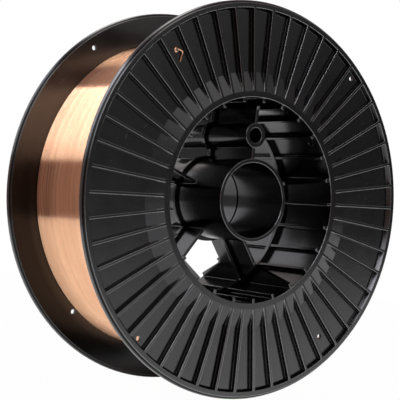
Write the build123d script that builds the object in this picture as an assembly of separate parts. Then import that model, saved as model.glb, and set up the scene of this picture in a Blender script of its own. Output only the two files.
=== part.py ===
from build123d import *
import os
from math import cos, radians, sin

# A plastic reel of copper-coated welding wire, standing on its two rims.
# Axis of the reel along Y, front face towards -Y, drive hole straight up (+Z).
# The origin is the middle of the bore. All lengths in mm, angles in degrees.

# Standard fit of the reel on its spindle
reel_width = 103.0
bore_dia = 51.5
drive_hole_dia = 10.6
drive_hole_radius = 44.5

# Hub, drive tube and barrel
hub_wall = 2.5
hub_setback = 1.5
drive_tube_wall = 3.1
drive_tube_setback = 6.0
opening_radius = 70.0
barrel_wall = 3.0

# Flanges
flange_radius = 135.0
flange_plate = 2.4
flange_rib_height = 3.2
flange_rib_width = 1.8
flange_rib_count = 50
inner_ring_width = 4.0
ramp_length = 13.0
front_ring_width = 3.0
cell_wall_slope = 1.5
rim_slope = 2.0
rim_lip = 0.7
rim_land = 1.0

# Spokes between hub and barrel, one of them straight up through the drive tube
spoke_count = 5
spoke_thickness = 2.2
spoke_low_edge = 19.5
gusset_run = 13.0
drive_spoke_setback = 6.5
drive_spoke_step_run = 3.0
elbow_radius = 3.0

# Ribs along the inside of the barrel: each spoke takes the place of one
ribs_per_spoke = 5
barrel_rib_height = 3.0
barrel_rib_width = 1.8
barrel_rib_setback = 0.6

# Socket collar of the rear half, where the two halves meet
collar_depth = 3.0
collar_width = 2.2
barrel_collar_width = 3.5

# Tie holes for the wire's last end, so many rib cells to either side of the upright
# at two radii, and the start hole for its first end, in the front half's barrel
tie_hole_dia = 3.6
inner_tie_inset = 18.5
outer_tie_inset = 9.2
tie_cells = 5.5
start_hole_dia = 4.0
start_hole_angle = 41.0
start_hole_inset = 3.5

# Wound wire: its share of the flange's height, and the last turn's end,
# led up through a tie hole, sideways to an elbow and back towards the axis
winding_fill = 0.663
winding_gap = 0.3
wire_dia = 1.2
tail_gap = 0.3
tail_run = 2.5
tail_rise = 3.5
tail_elbow_fall = 2.6
tail_elbow_side = 2.3
tail_end_fall = 7.7
tail_end_side = 2.3
tail_sides = 8

# Derived sizes
half_width = reel_width / 2
bore_radius = bore_dia / 2
hub_radius = bore_radius + hub_wall
hub_end = half_width - hub_setback
drive_tube_radius = drive_hole_dia / 2 + drive_tube_wall
drive_tube_end = half_width - drive_tube_setback
barrel_radius = opening_radius + barrel_wall
floor_depth = half_width - flange_rib_height
flange_inside = floor_depth - flange_plate
ring_outer = flange_radius - rim_slope
ring_inner = ring_outer - front_ring_width
cell_angle = 360 / flange_rib_count
rib_angle = 360 / (spoke_count * ribs_per_spoke)
rib_tip = opening_radius - barrel_rib_height
rib_end = half_width - barrel_rib_setback
spoke_root = bore_radius + hub_wall / 2
spoke_tip = opening_radius + barrel_wall / 2
drive_spoke_edge = half_width - drive_spoke_setback
inner_tie_radius = flange_radius - inner_tie_inset
outer_tie_radius = flange_radius - outer_tie_inset
winding_radius = barrel_radius + winding_fill * (flange_radius - barrel_radius)
tie_angles = [side + turn * tie_cells * cell_angle for side in (90, 270) for turn in (-1, 1)]
over_cut = 1.0


def ring(outer, inner, low, high):
    """A tube round the reel's axis, from depth low to depth high."""
    with BuildSketch(Plane.XY) as section:
        with Locations(((outer + inner) / 2, -(low + high) / 2)):
            Rectangle(outer - inner, high - low)
    return revolve(section.sketch, Axis.Y)


def flange_and_barrel():
    """Flange plate with its two rings and the barrel wall, one turned section."""
    ramp_start = opening_radius + inner_ring_width
    land_end = floor_depth + rim_lip
    section = [
        (opening_radius, 0),
        (opening_radius, half_width),
        (ramp_start, half_width),
        (ramp_start + ramp_length, floor_depth),
        (ring_inner - cell_wall_slope, floor_depth),
        (ring_inner, half_width),
        (ring_outer, half_width),
        (flange_radius, land_end),
        (flange_radius, land_end - rim_land),
        (ring_outer, flange_inside),
        (barrel_radius, flange_inside),
        (barrel_radius, 0),
    ]
    outline = make_face(Polyline([(r, -d) for r, d in section], close=True))
    return revolve(outline, Axis.Y)


def axial_plate(points, thickness, angle):
    """A flat plate in a plane through the axis, from (radius, depth) points."""
    outline = make_face(Polyline([(r, -d) for r, d in points], close=True))
    plate = extrude(outline, thickness / 2, both=True)
    return plate.rotate(Axis.Y, -angle)


def spoke(angle, edge, run):
    """A spoke at one depth from the hub outwards, then a gusset up to the barrel rib."""
    points = [
        (spoke_root, 0),
        (spoke_root, edge),
        (rib_tip - run, edge),
        (rib_tip, rib_end),
        (spoke_tip, rib_end),
        (spoke_tip, 0),
    ]
    outline = make_face(Polyline([(r, -d) for r, d in points], close=True))
    elbow = outline.vertices().sort_by_distance((rib_tip - run, -edge))[0]
    outline = fillet(elbow, elbow_radius)
    plate = extrude(outline, spoke_thickness / 2, both=True)
    return plate.rotate(Axis.Y, -angle)


def on_axis_cylinder(radius, low, high, at_radius, angle):
    """A cylinder along Y at a place given by radius and angle."""
    x = at_radius * cos(radians(angle))
    z = at_radius * sin(radians(angle))
    plane = Plane(origin=(x, -low, z), x_dir=(1, 0, 0), z_dir=(0, -1, 0))
    return extrude(plane * Circle(radius), high - low)


def collar():
    """The raised band round hub, drive tube, spokes and barrel at the joint."""
    pieces = [
        ring(hub_radius + collar_width, bore_radius, 0, collar_depth),
        ring(barrel_radius, opening_radius - barrel_collar_width, 0, collar_depth),
        on_axis_cylinder(drive_tube_radius + collar_width, 0, collar_depth, drive_hole_radius, 90),
    ]
    points = [
        (spoke_root, 0),
        (spoke_root, collar_depth),
        (spoke_tip, collar_depth),
        (spoke_tip, 0),
    ]
    for n in range(spoke_count):
        angle = 90 + n * ribs_per_spoke * rib_angle
        pieces.append(axial_plate(points, spoke_thickness + 2 * collar_width, angle))
    return pieces


def start_hole():
    """The hole in the barrel that the first turn's end goes into."""
    angle = radians(start_hole_angle)
    plane = Plane(
        origin=(0, start_hole_inset - flange_inside, 0),
        x_dir=(0, 1, 0),
        z_dir=(cos(angle), 0, sin(angle)),
    )
    drill = extrude(plane * Circle(start_hole_dia / 2), barrel_radius + over_cut)
    return drill - on_axis_cylinder(rib_tip, 0, half_width, 0, 0)


def half_reel(tie_radii):
    """One moulding, modelled with its open face towards -Y and its joint at y = 0."""
    body = flange_and_barrel() + ring(hub_radius, bore_radius, 0, hub_end)
    body += on_axis_cylinder(drive_tube_radius, 0, drive_tube_end, drive_hole_radius, 90)
    flange_rib = [
        (opening_radius + inner_ring_width / 2, floor_depth - flange_plate / 2),
        (opening_radius + inner_ring_width / 2, half_width),
        (ring_inner + front_ring_width / 2, half_width),
        (ring_inner + front_ring_width / 2, floor_depth - flange_plate / 2),
    ]
    barrel_rib = [(rib_tip, 0), (rib_tip, rib_end), (spoke_tip, rib_end), (spoke_tip, 0)]
    plates = []
    for n in range(flange_rib_count):
        plates.append(axial_plate(flange_rib, flange_rib_width, 90 + n * cell_angle))
    for n in range(spoke_count * ribs_per_spoke):
        angle = 90 + n * rib_angle
        if n == 0:
            plates.append(spoke(angle, drive_spoke_edge, drive_spoke_step_run))
        elif n % ribs_per_spoke == 0:
            plates.append(spoke(angle, spoke_low_edge, gusset_run))
        else:
            plates.append(axial_plate(barrel_rib, barrel_rib_width, angle))
    body = body.fuse(*plates)
    holes = [
        on_axis_cylinder(bore_radius, -over_cut, half_width + over_cut, 0, 0),
        on_axis_cylinder(drive_hole_dia / 2, -over_cut, half_width + over_cut, drive_hole_radius, 90),
    ]
    low, high = flange_inside - over_cut, half_width + over_cut
    for angle, radius in zip(tie_angles, tie_radii):
        holes.append(on_axis_cylinder(tie_hole_dia / 2, low, high, radius, angle))
    return body, holes


def front_reel_half():
    """The half with the starting hole for the wire in its barrel."""
    body, holes = half_reel([outer_tie_radius, inner_tie_radius, outer_tie_radius, inner_tie_radius])
    return body.cut(*holes, start_hole())


def rear_reel_half():
    """The half with the collar, a mirror image of the front one in all else but its tie holes."""
    body, holes = half_reel([inner_tie_radius, outer_tie_radius, inner_tie_radius, outer_tie_radius])
    return body.fuse(*collar()).cut(*holes).mirror(Plane.XZ)


def wire_winding():
    """The wound wire as one turned ring, with the bent end of its last turn."""
    coil_end = flange_inside - winding_gap
    coil = ring(winding_radius, barrel_radius + winding_gap, -coil_end, coil_end)
    angle = radians(tie_angles[1])
    across = Plane(
        origin=(inner_tie_radius * cos(angle), 0, inner_tie_radius * sin(angle)),
        x_dir=(cos(angle), 0, sin(angle)),
        z_dir=(0, -1, 0),
    )
    wire_radius = wire_dia / 2
    lie = floor_depth + wire_radius + tail_gap
    points = [
        (winding_radius - wire_dia - inner_tie_radius, 0, flange_inside - (tail_run + tail_rise) * wire_dia),
        (0, 0, flange_inside - tail_run * wire_dia),
        (0, 0, lie),
        (-tail_elbow_fall, -tail_elbow_side, lie),
        (-tail_end_fall, tail_end_side, lie),
    ]
    path = Polyline(*[across.from_local_coords(point) for point in points])
    section = Plane(origin=path @ 0, z_dir=path % 0) * RegularPolygon(wire_radius, tail_sides)
    return coil + sweep(section, path, transition=Transition.RIGHT)


os.makedirs("parts", exist_ok=True)

for make in (front_reel_half, rear_reel_half, wire_winding):
    shape = make()
    export_step(shape, "parts/" + make.__name__ + ".step")
    print(make.__name__, len(shape.solids()), round(shape.volume / 1000, 1), "cm3")
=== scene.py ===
import math

import bpy
from mathutils import Matrix, Vector


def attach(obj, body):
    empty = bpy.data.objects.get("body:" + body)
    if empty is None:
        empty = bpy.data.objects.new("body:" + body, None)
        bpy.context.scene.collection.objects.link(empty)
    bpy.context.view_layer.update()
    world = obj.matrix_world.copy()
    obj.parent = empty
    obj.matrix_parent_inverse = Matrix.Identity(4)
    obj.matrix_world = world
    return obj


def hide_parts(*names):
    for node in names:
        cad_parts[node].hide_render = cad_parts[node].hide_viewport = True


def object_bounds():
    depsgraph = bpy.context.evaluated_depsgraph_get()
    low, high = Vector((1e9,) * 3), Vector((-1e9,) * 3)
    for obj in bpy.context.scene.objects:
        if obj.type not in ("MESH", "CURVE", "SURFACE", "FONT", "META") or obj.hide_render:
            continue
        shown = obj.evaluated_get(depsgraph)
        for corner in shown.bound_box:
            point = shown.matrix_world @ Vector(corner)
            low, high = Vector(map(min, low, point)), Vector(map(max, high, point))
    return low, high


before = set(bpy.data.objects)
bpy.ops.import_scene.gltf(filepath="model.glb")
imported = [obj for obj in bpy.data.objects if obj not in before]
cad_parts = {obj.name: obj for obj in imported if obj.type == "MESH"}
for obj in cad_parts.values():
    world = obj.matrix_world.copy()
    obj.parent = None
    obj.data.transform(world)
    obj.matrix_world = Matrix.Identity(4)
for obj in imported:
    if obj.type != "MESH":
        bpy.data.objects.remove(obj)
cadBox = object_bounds()
scene = bpy.context.scene
scene.view_settings.view_transform = "Standard"
print("frame loaded", [round(v, 4) for v in cadBox[0]], [round(v, 4) for v in cadBox[1]])

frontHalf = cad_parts["front_reel_half"]
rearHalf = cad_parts["rear_reel_half"]
floorHeight = cadBox[0].z


# Shader maths: a value's plus, minus and times signs add the nodes
class Value:
    def __init__(self, graph, socket):
        self.graph = graph
        self.socket = socket

    def maths(self, operation, first, second=None, clamp=False):
        settings = {"operation": operation, "use_clamp": clamp}
        return self.graph.node("ShaderNodeMath", settings, {0: first, 1: second})

    def __add__(self, other):
        return self.maths("ADD", self, other)

    def __radd__(self, other):
        return self.maths("ADD", other, self)

    def __sub__(self, other):
        return self.maths("SUBTRACT", self, other)

    def __rsub__(self, other):
        return self.maths("SUBTRACT", other, self)

    def __mul__(self, other):
        return self.maths("MULTIPLY", self, other)

    def __rmul__(self, other):
        return self.maths("MULTIPLY", other, self)

    def __abs__(self):
        return self.maths("ABSOLUTE", self)

    # 0 below the first number, 1 above the second, a straight rise between
    def rise(self, low, high):
        return self.maths("MULTIPLY", self - low, 1 / (high - low), clamp=True)

    def atLeast(self, other):
        return self.maths("MAXIMUM", self, other)


class Graph:
    # owner: a new material, or a new world
    def __init__(self, owner):
        self.owner = owner
        owner.use_nodes = True
        self.tree = owner.node_tree
        self.tree.nodes.clear()

    # any node: its settings first, then the numbers or links of its sockets
    def node(self, kind, settings=None, inputs=None, output=0):
        made = self.tree.nodes.new(kind)
        for key, setting in (settings or {}).items():
            setattr(made, key, setting)
        for key, given in (inputs or {}).items():
            if given is None:
                continue
            if isinstance(given, Value):
                self.tree.links.new(given.socket, made.inputs[key])
            else:
                made.inputs[key].default_value = given
        return Value(self, made.outputs[output]) if made.outputs else None

    def place(self):
        return self.node("ShaderNodeTexCoord", output="Object")

    def along(self, vector, direction):
        settings = {"operation": "DOT_PRODUCT"}
        return self.node("ShaderNodeVectorMath", settings, {0: vector, 1: direction}, "Value")

    def ray(self, kind):
        return self.node("ShaderNodeLightPath", output=kind)

    def noise(self, vector, scale, detail=2.0, roughness=0.5):
        inputs = {"Vector": vector, "Scale": scale, "Detail": detail, "Roughness": roughness}
        return self.node("ShaderNodeTexNoise", None, inputs)

    def stretch(self, vector, scale):
        return self.node("ShaderNodeMapping", None, {"Vector": vector, "Scale": scale})

    def mixColour(self, factor, first, second):
        return self.node("ShaderNodeMix", {"data_type": "RGBA"}, {0: factor, 6: first, 7: second}, 2)

    def roundedEdges(self, radius):
        return self.node("ShaderNodeBevel", {"samples": 6}, {"Radius": radius})

    def bump(self, height, distance, strength=1.0, normal=None):
        inputs = {"Height": height, "Distance": distance, "Strength": strength, "Normal": normal}
        return self.node("ShaderNodeBump", None, inputs)

    # distance from the reel's axis
    def radius(self, vector):
        flat = self.stretch(vector, (1, 0, 1))
        return self.node("ShaderNodeVectorMath", {"operation": "LENGTH"}, {0: flat}, "Value")

    def mixSurface(self, factor, first, second):
        return self.node("ShaderNodeMixShader", None, {0: factor, 1: first, 2: second})

    def finish(self, surface):
        self.node("ShaderNodeOutputMaterial", None, {"Surface": surface})
        return self.owner


# Black moulded plastic of the reel, with an open seam in the bore where its halves meet.
# A pair is where something fades in: at the first number not yet, at the second in full.
# Noise is given as size, detail and roughness, bumps as depth and strength
plasticLook = {
    "colour": (0.0009, 0.0009, 0.001, 1),
    "roughness": 0.18,
    "roughnessSpread": 0.14,
    "ior": 1.8,
    "clouds": (55, 4.0, 0.6),
    "grain": (2600, 2.0),
    "grainBump": (0.00005, 0.2),
    "ripple": (140, 1.0),
    "rippleBump": (0.0002, 0.06),
    # Painted shade: the plastic turns partly to a dark matt where mirrors show it
    "paintedShadeWhenMirrored": 0.65,
}

# Dust specks all over, and a brownish film in clouds high on the flanges' inner sides, which is a painted
# reflection of the winding
dustAndReflectionLook = {
    "colour": (0.2, 0.195, 0.185, 1),
    "specks": (800, 1.0),
    "speckEdge": (0.72, 0.80),
    "speckClouds": (0.35, 0.7),
    "speckShare": 0.6,
    "reflectionFilmColour": (0.022, 0.018, 0.0165, 1),
    "reflectionFilmClouds": (0.1, 0.6),
    "reflectionFilmHeight": (0.0, 0.09),
}

# Shine on the rounded edges of raised ribs and rings, and a painted sheen on the left of the rims,
# stronger high up, where their highlight falls
edgeLook = {
    "radius": 0.0006,
    "turn": (0.01, 0.08),
    "ior": 3.4,
    "roughness": 0.15,
    "raised": (0.0497, 0.0502),
    "cellsFrom": (0.0695, 0.0705),
    "cellsTo": (0.1302, 0.1306),
    "sheenFromAxis": (0.1343, 0.1346),
    "sheenSide": (-0.05, 0.01),
    "sheenHeight": (0.098, 0.118),
    "sheenLowDown": 0.2,
}

# Dark places: the seam in the bore; painted shade as a line round the rim, where a groove's shade would
# fall; and painted shade on the flanges' inner sides low down
darkLook = {
    "colour": (0.001, 0.001, 0.001, 1),
    "seamHalfWidth": (0.0007, 0.0011),
    "seamWithin": (0.0262, 0.0264),
    "rimGrooveShade": 0.1338,
    "rimGrooveShadeHalfWidth": (0.0003, 0.0005),
    "rimGrooveShadeStrength": 0.8,
    "innerDepth": (0.0462, 0.0465),
    "innerFromAxis": (0.1135, 0.1145),
    "lowHeight": (-0.035, 0.075),
    "lowFromAxis": (0.113, 0.121),
    "lowShade": 0.62,
}


def dustAndReflectionColour(g, at, clouds, inner, height):
    specks = g.noise(at, *dustAndReflectionLook["specks"]).rise(*dustAndReflectionLook["speckEdge"])
    specks = specks * clouds.rise(*dustAndReflectionLook["speckClouds"]) * dustAndReflectionLook["speckShare"]
    # Painted reflection: the brownish film stands in for light from the winding, lighter high up
    paintedReflection = inner * clouds.rise(*dustAndReflectionLook["reflectionFilmClouds"]) * height.rise(*dustAndReflectionLook["reflectionFilmHeight"])
    ground = g.mixColour(paintedReflection, plasticLook["colour"], dustAndReflectionLook["reflectionFilmColour"])
    return g.mixColour(specks, ground, dustAndReflectionLook["colour"])


def edgeShine(g, at, rounded, fromAxis, depth, height):
    look = edgeLook
    flat = g.node("ShaderNodeNewGeometry", output="Normal")
    outsideCells = (1 - fromAxis.rise(*look["cellsFrom"])).atLeast(fromAxis.rise(*look["cellsTo"]))
    raised = depth.rise(*look["raised"]).atLeast(outsideCells)
    edge = (1 - g.along(rounded, flat)).rise(*look["turn"]) * raised
    leftward = 1 - g.along(at, (1, 0, 0)).rise(*look["sheenSide"])
    lowDown = look["sheenLowDown"]
    # Painted sheen: a stronger coat on the left of the rims, mostly high up, where their highlight falls
    paintedSheen = fromAxis.rise(*look["sheenFromAxis"]) * leftward
    return edge.atLeast(paintedSheen * (height.rise(*look["sheenHeight"]) * (1 - lowDown) + lowDown))


def seamAndPaintedShade(g, fromAxis, depth, height, inner):
    look = darkLook
    seam = 1 - depth.rise(*look["seamHalfWidth"])
    dark = seam * (1 - fromAxis.rise(*look["seamWithin"]))
    # Painted shade: a dark line round the rim, as the shade of a groove
    rimGrooveShade = 1 - abs(fromAxis - look["rimGrooveShade"]).rise(*look["rimGrooveShadeHalfWidth"])
    dark = dark.atLeast(rimGrooveShade * look["rimGrooveShadeStrength"])
    # Painted shade on the flanges' inner sides low down
    low = (1 - height.rise(*look["lowHeight"])) * fromAxis.rise(*look["lowFromAxis"])
    dark = dark.atLeast(inner * low * look["lowShade"])
    # Painted shade: plastic seen in mirrors is dimmed
    return dark.atLeast(g.ray("Is Glossy Ray") * plasticLook["paintedShadeWhenMirrored"])


def makePlastic():
    look = plasticLook
    g = Graph(bpy.data.materials.new("black_reel_plastic"))
    at = g.place()
    fromAxis = g.radius(at)
    depth = abs(g.along(at, (0, 1, 0)))
    height = g.along(at, (0, 0, 1))
    inner = (1 - depth.rise(*darkLook["innerDepth"])) * fromAxis.rise(*darkLook["innerFromAxis"])
    clouds = g.noise(at, *look["clouds"])
    rounded = g.roundedEdges(edgeLook["radius"])
    ripple = g.bump(g.noise(at, *look["ripple"]), *look["rippleBump"], rounded)
    shell = g.node("ShaderNodeBsdfPrincipled", None, {
        "Base Color": dustAndReflectionColour(g, at, clouds, inner, height),
        "Roughness": look["roughness"] + (clouds - 0.5) * look["roughnessSpread"],
        "Normal": g.bump(g.noise(at, *look["grain"]), *look["grainBump"], ripple),
        "IOR": look["ior"],
        "Coat Weight": edgeShine(g, at, rounded, fromAxis, depth, height),
        "Coat IOR": edgeLook["ior"],
        "Coat Roughness": edgeLook["roughness"],
        "Coat Normal": ripple,
    })
    dark = g.node("ShaderNodeBsdfDiffuse", None, {"Color": darkLook["colour"]})
    return g.finish(g.mixSurface(seamAndPaintedShade(g, fromAxis, depth, height, inner), shell, dark))


# Copper-coated steel wire: its tone changes from turn to turn, with fine lines from drawing
copperLook = {
    "bright": (1.0, 0.575, 0.345, 1),
    "dull": (0.81, 0.415, 0.23, 1),
    "roughness": 0.1,
    "roughnessSpread": 0.1,
    "patches": (45, 3.0, 0.6),
    "patchShare": 0.4,
    "bandsAlong": (8, 75, 8),
    "bands": (1.0, 1.0),
    "bandShare": 0.6,
    "turnsAlong": (5, 260, 5),
    "turns": (1.0, 4.0, 0.7),
    "toneEdges": (0.75, 1.35),
    "linesAlong": (60, 5000, 60),
    "lines": (1.0, 2.0),
    "lineBump": (0.00003, 0.2),
    "coat": 0.5,
    "coatIor": 1.6,
    "coatRoughness": 0.1,
}

# Painted shade: darker brown streaks along the winding's dark band at about the axis's height, most of
# them towards the rear flange
darkBandShadeLook = {
    "colour": (0.36, 0.20, 0.14, 1),
    "along": (12, 420, 12),
    "streaks": (1.0, 3.0, 0.6),
    "streakEdges": (0.32, 0.62),
    "rearFrom": (0.012, 0.030),
    "rearShare": 0.55,
    "everyShare": 0.2,
    "height": -0.0075,
    "reach": (0.016, 0.022),
}


# Painted shade: where the darker brown goes, in streaks along the winding's dark band
def darkBandShadeShare(g, at):
    look = darkBandShadeLook
    streaks = g.noise(g.stretch(at, look["along"]), *look["streaks"]).rise(*look["streakEdges"])
    rearward = g.along(at, (0, 1, 0)).rise(*look["rearFrom"]) * look["rearShare"] + look["everyShare"]
    level = 1 - abs(g.along(at, (0, 0, 1)) - look["height"]).rise(*look["reach"])
    return streaks * rearward * level


def makeCopper():
    look = copperLook
    g = Graph(bpy.data.materials.new("copper_coated_wire"))
    at = g.place()
    patches = g.noise(at, *look["patches"])
    bands = g.noise(g.stretch(at, look["bandsAlong"]), *look["bands"])
    turns = g.noise(g.stretch(at, look["turnsAlong"]), *look["turns"])
    tone = patches * look["patchShare"] + bands * look["bandShare"] + turns
    beforeShade = g.mixColour(tone.rise(*look["toneEdges"]), look["bright"], look["dull"])
    lines = g.noise(g.stretch(at, look["linesAlong"]), *look["lines"])
    return g.finish(g.node("ShaderNodeBsdfPrincipled", None, {
        # Painted shade mixed in as darker brown streaks
        "Base Color": g.mixColour(darkBandShadeShare(g, at), beforeShade, darkBandShadeLook["colour"]),
        "Roughness": look["roughness"] + (turns - 0.5) * look["roughnessSpread"],
        "Normal": g.bump(lines, *look["lineBump"]),
        "Metallic": 1.0,
        "Coat Weight": look["coat"],
        "Coat IOR": look["coatIor"],
        "Coat Roughness": look["coatRoughness"],
    }))


plastic = makePlastic()
copper = makeCopper()


def giveMaterial(piece, material):
    piece.data.materials.clear()
    piece.data.materials.append(material)


for half in (frontHalf, rearHalf):
    giveMaterial(half, plastic)
print("plastic on the reel halves")


def applyModifiers(piece):
    bpy.context.view_layer.objects.active = piece
    for modifier in list(piece.modifiers):
        bpy.ops.object.modifier_apply(modifier=modifier.name)


def settle(piece):
    # the piece's place goes into its mesh
    bpy.ops.object.select_all(action="DESELECT")
    piece.select_set(True)
    bpy.context.view_layer.objects.active = piece
    bpy.ops.object.transform_apply(location=True, rotation=True, scale=True)


# The winding's top layer: one ring of wire for each turn, its hidden inner side left out
windingSize = {
    "wire": 0.0012,
    "radius": 0.1141,
    "inside": 0.0733,
    "side": 0.0456,
    "roundSteps": 180,
    "wireSteps": 10,
    "hiddenBelow": 0.62,
}


def makeTurns():
    size = windingSize
    wire = size["wire"]
    turns = int(2 * size["side"] / wire)
    pitch = (2 * size["side"] - wire) / (turns - 1)
    bpy.ops.object.select_all(action="DESELECT")
    bpy.ops.mesh.primitive_torus_add(
        location=(0, -size["side"] + wire / 2, 0),
        rotation=(math.pi / 2, 0, 0),
        major_segments=size["roundSteps"],
        minor_segments=size["wireSteps"],
        major_radius=size["radius"] - wire / 2,
        minor_radius=wire / 2,
    )
    layer = bpy.context.active_object
    settle(layer)
    bpy.ops.object.mode_set(mode="EDIT")
    bpy.ops.mesh.select_mode(type="VERT")
    bpy.ops.mesh.select_all(action="DESELECT")
    bpy.ops.object.mode_set(mode="OBJECT")
    for vertex in layer.data.vertices:
        vertex.select = math.hypot(vertex.co.x, vertex.co.z) < size["radius"] - size["hiddenBelow"] * wire
    bpy.ops.object.mode_set(mode="EDIT")
    bpy.ops.mesh.delete(type="VERT")
    bpy.ops.object.mode_set(mode="OBJECT")
    array = layer.modifiers.new("turns", "ARRAY")
    array.count = turns
    array.use_relative_offset = False
    array.use_constant_offset = True
    array.constant_offset_displace = (0, pitch, 0)
    applyModifiers(layer)
    return layer


# What lies under the top layer, as one thick tube
def makeCoilBody():
    size = windingSize
    outer = size["radius"] - size["hiddenBelow"] * size["wire"]
    bpy.ops.object.select_all(action="DESELECT")
    bpy.ops.mesh.primitive_cylinder_add(
        vertices=size["roundSteps"], radius=outer, depth=2 * size["side"],
        end_fill_type="NOTHING", rotation=(math.pi / 2, 0, 0),
    )
    body = bpy.context.active_object
    settle(body)
    wall = body.modifiers.new("wall", "SOLIDIFY")
    wall.thickness = outer - size["inside"]
    wall.offset = -1
    applyModifiers(body)
    return body


# The wire's last end, out through a tie hole and bent over on the flange.
# Its points: away from the axis, sideways, depth towards the front
tailRoute = {
    "holeAngle": 129.6,
    "holeRadius": 0.1165,
    "points": [
        (-0.0036, 0.0030, 0.0390),
        (-0.0014, 0.0006, 0.0415),
        (0.0, 0.0, 0.0440),
        (0.0, 0.0, 0.0480),
        (0.0004, 0.0, 0.0497),
        (-0.0010, -0.0012, 0.0502),
        (-0.0026, -0.0025, 0.0499),
        (-0.0042, -0.0014, 0.0494),
        (-0.0077, 0.0023, 0.0491),
    ],
    "roundness": 4,
}


def makeTail():
    route = tailRoute
    angle = math.radians(route["holeAngle"])
    outward = Vector((math.cos(angle), 0, math.sin(angle)))
    sideways = Vector((-math.sin(angle), 0, math.cos(angle)))
    front = Vector((0, -1, 0))
    bpy.ops.object.select_all(action="DESELECT")
    bpy.ops.curve.primitive_nurbs_path_add()
    tail = bpy.context.active_object
    curve = tail.data
    curve.splines.clear()
    spline = curve.splines.new("NURBS")
    spline.points.add(len(route["points"]) - 1)
    for point, (out, side, depth) in zip(spline.points, route["points"]):
        spot = (route["holeRadius"] + out) * outward + side * sideways + depth * front
        point.co = (*spot, 1)
    spline.order_u = 3
    spline.use_endpoint_u = True
    curve.resolution_u = 6
    curve.bevel_depth = windingSize["wire"] / 2
    curve.bevel_resolution = route["roundness"]
    curve.use_fill_caps = True
    bpy.ops.object.convert(target="MESH")
    return bpy.context.active_object


def makeWinding():
    body = makeCoilBody()
    tail = makeTail()
    layer = makeTurns()
    bpy.ops.object.select_all(action="DESELECT")
    for piece in (body, tail, layer):
        piece.select_set(True)
    bpy.context.view_layer.objects.active = layer
    bpy.ops.object.join()
    bpy.ops.object.shade_smooth_by_angle(angle=math.radians(60))
    layer.name = "wound_wire"
    giveMaterial(layer, copper)
    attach(layer, "root")
    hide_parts("wire_winding")


makeWinding()
print("winding made")


# Camera, a little under the middle of the reel, in front and to the left
cameraPlace = {
    "position": (-0.4950, -0.6645, -0.0328),
    "turn": 36.24,
    "tilt": 2.13,
    "roll": 5.96,
    "focal": 1163.4,
    "frame": 400,
    "sensor": 36.0,
}


def makeCamera():
    c = cameraPlace
    data = bpy.data.cameras.new("camera")
    data.sensor_width = c["sensor"]
    data.lens = c["focal"] / c["frame"] * c["sensor"]
    data.clip_start = 0.01
    data.clip_end = 50
    camera = bpy.data.objects.new("camera", data)
    scene.collection.objects.link(camera)
    turned = Matrix.Rotation(-math.radians(c["turn"]), 4, "Z")
    upright = Matrix.Rotation(math.radians(90 + c["tilt"]), 4, "X")
    rolled = Matrix.Rotation(math.radians(c["roll"]), 4, "Z")
    camera.matrix_world = Matrix.Translation(c["position"]) @ turned @ upright @ rolled
    scene.camera = camera


makeCamera()


# White table under the reel: its left edge is where the winding turns dark. A shade is seen in
# mirrors only: middle, reach, depth, and a depth below zero brightens
tableSize = {
    "left": -0.43,
    "right": 3.4,
    "front": -3.4,
    "back": 1.6,
    "seen": 0.98,
    "mirrored": 0.88,
    "through": 0.98,
    "matt": (0.85, 0.85, 0.85, 1),
    "shades": [
        ((0.05, 0.05), (0.04, 0.13), 1.0),
        ((-0.08, 0.22), (0.05, 0.30), 0.6),
        ((-0.35, 0.45), (0.15, 0.40), 0.85),
        ((-0.65, -1.00), (0.80, 1.15), 0.8),
        ((0.10, -2.40), (1.30, 1.90), 0.8),
        ((-0.25, -0.02), (0.12, 0.36), -0.72),
    ],
}


def makeTable():
    size = tableSize
    g = Graph(bpy.data.materials.new("table_white"))
    matt = g.node("ShaderNodeBsdfDiffuse", None, {"Color": size["matt"]})
    white = g.node("ShaderNodeEmission", None, {"Color": (1, 1, 1, 1), "Strength": 1.0})
    seen = g.ray("Is Camera Ray") * size["seen"]
    mirrored = g.ray("Is Glossy Ray") * size["mirrored"]
    for middle, reach, depth in size["shades"]:
        gap = {0: g.place(), 1: (*middle, floorHeight)}
        away = g.node("ShaderNodeVectorMath", {"operation": "DISTANCE"}, gap, "Value")
        mirrored = mirrored * (1 - (1 - away.rise(*reach)) * depth)
    through = g.ray("Is Transmission Ray") * size["through"]
    factor = seen.atLeast(mirrored).atLeast(through)
    g.finish(g.mixSurface(factor, matt, white))
    bpy.ops.object.select_all(action="DESELECT")
    bpy.ops.mesh.primitive_plane_add(size=1)
    table = bpy.context.active_object
    table.scale = (size["right"] - size["left"], size["back"] - size["front"], 1)
    table.location = ((size["right"] + size["left"]) / 2, (size["back"] + size["front"]) / 2, floorHeight)
    settle(table)
    table.name = "table"
    giveMaterial(table, g.owner)


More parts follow.
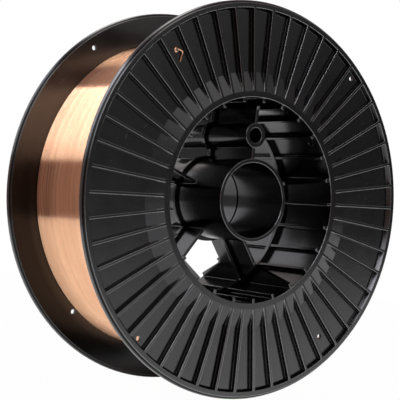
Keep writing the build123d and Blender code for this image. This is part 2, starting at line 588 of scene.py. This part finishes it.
# The room as a sky: dim round the table, brighter at the back, with a large soft box on
# the left, whose edges show as bands on the winding. A patch: middle, edges, colour
room = {
    "shade": (0.088, 0.088, 0.09, 1),
    "zenith": (0.33, 0.28, 0.30, 1),
    "zenithHeight": (0.28, 0.75),
    "patches": [
        ((0.0, -1.0, 0.0), (0.70, 0.85), (0.135, 0.135, 0.138, 1)),
        ((-0.93, -0.37, 0.0), (0.55, 0.93), (0.34, 0.24, 0.22, 1)),
        ((-0.60, 0.80, 0.0), (0.80, 0.97), (0.20, 0.19, 0.19, 1)),
        ((0.15, 0.87, 0.46), (0.84, 0.95), (0.45, 0.40, 0.385, 1)),
        ((0.20, 0.90, 0.38), (0.93, 0.985), (1.0, 0.95, 0.92, 1)),
        ((-0.02, -0.05, 1.0), (0.96, 0.99), (2.0, 1.95, 1.9, 1)),
        ((0.40, -0.80, 0.48), (0.915, 0.99), (0.42, 0.42, 0.425, 1)),
        ((0.60, 0.80, 0.0), (0.72, 0.86), (0.34, 0.34, 0.34, 1)),
        ((0.36, -0.84, 0.40), (0.965, 0.99), (0.78, 0.78, 0.79, 1)),
    ],
    "boxFront": (0.9, 0.9, 0.92, 1),
    "boxBack": (1.0, 1.0, 1.05, 1),
    "boxTurn": (-0.3, 0.3),
    "window": (5.0, 4.95, 5.55, 1),
    "windowPlace": -0.07,
    "windowEdge": (0.09, 0.20),
    "windowRise": (0.20, 0.45),
    "boxTop": 145.2,
    "boxTopEdge": (-0.01, 0.01),
    "boxBottom": (0.20, 0.24),
    "boxRight": (0.0, 0.15),
}


# A cut through the sky, placed so that the winding mirrors it at this angle round the axis
def skyEdge(angle):
    turn = math.radians(angle)
    outward = Vector((math.cos(turn), 0, math.sin(turn)))
    across = Vector((-math.sin(turn), 0, math.cos(turn)))
    toCamera = (Vector(cameraPlace["position"]) - windingSize["radius"] * outward).normalized()
    return across, -toCamera.dot(across)


def makeRoom():
    g = Graph(bpy.data.worlds.new("studio"))
    towards = g.node("ShaderNodeTexCoord", output="Generated")
    height = g.along(towards, (0, 0, 1))
    rightward = g.along(towards, (1, 0, 0))
    backward = g.along(towards, (0, 1, 0))
    topAcross, topLevel = skyEdge(room["boxTop"])
    pastTop = topLevel - g.along(towards, topAcross)
    light = g.mixColour(height.rise(*room["zenithHeight"]), room["shade"], room["zenith"])
    for direction, edges, colour in room["patches"]:
        middle = Vector(direction).normalized()
        light = g.mixColour(g.along(towards, middle).rise(*edges), light, colour)
    leftOf = 1 - rightward.rise(*room["boxRight"])
    box = (1 - pastTop.rise(*room["boxTopEdge"])) * height.rise(*room["boxBottom"]) * leftOf
    boxColour = g.mixColour(backward.rise(*room["boxTurn"]), room["boxFront"], room["boxBack"])
    window = 1 - abs(backward - room["windowPlace"]).rise(*room["windowEdge"])
    window = window * height.rise(*room["windowRise"])
    light = g.mixColour(box, light, g.mixColour(window, boxColour, room["window"]))
    seen = g.ray("Is Camera Ray").atLeast(g.ray("Is Transmission Ray"))
    light = g.mixColour(seen, light, (1, 1, 1, 1))
    glow = g.node("ShaderNodeBackground", None, {"Color": light, "Strength": 1.0})
    g.node("ShaderNodeOutputWorld", None, {"Surface": glow})
    scene.world = g.owner


makeTable()
makeRoom()
print("studio made")
